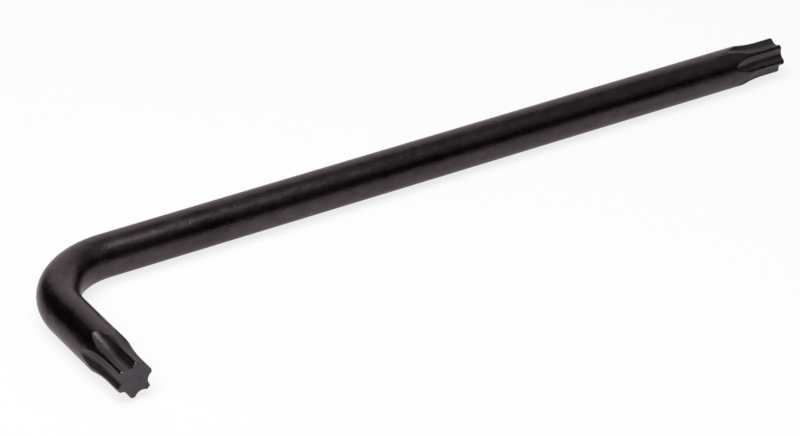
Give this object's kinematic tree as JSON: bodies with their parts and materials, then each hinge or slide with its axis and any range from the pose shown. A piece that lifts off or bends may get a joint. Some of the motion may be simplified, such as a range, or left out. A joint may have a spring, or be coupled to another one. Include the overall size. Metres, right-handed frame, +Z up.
{
  "type": "star key",
  "caption": "L-shaped star key: a round bar of black-oxide steel, bent to a long and a short arm, with a six-lobed drive milled on each end.",
  "frame": {"origin": "centre of the key's box on the plane it lies on, with the key flat on its side", "axes": "+X along the long arm towards its tip, -Y along the short arm towards its tip, +Z up"},
  "size_m": [0.135, 0.0346, 0.0063],
  "materials": {
    "black_oxide_steel": "black oxide, satin"
  },
  "bodies": {
    "root": {"key_bar": "black_oxide_steel"}
  },
  "joints": []
}
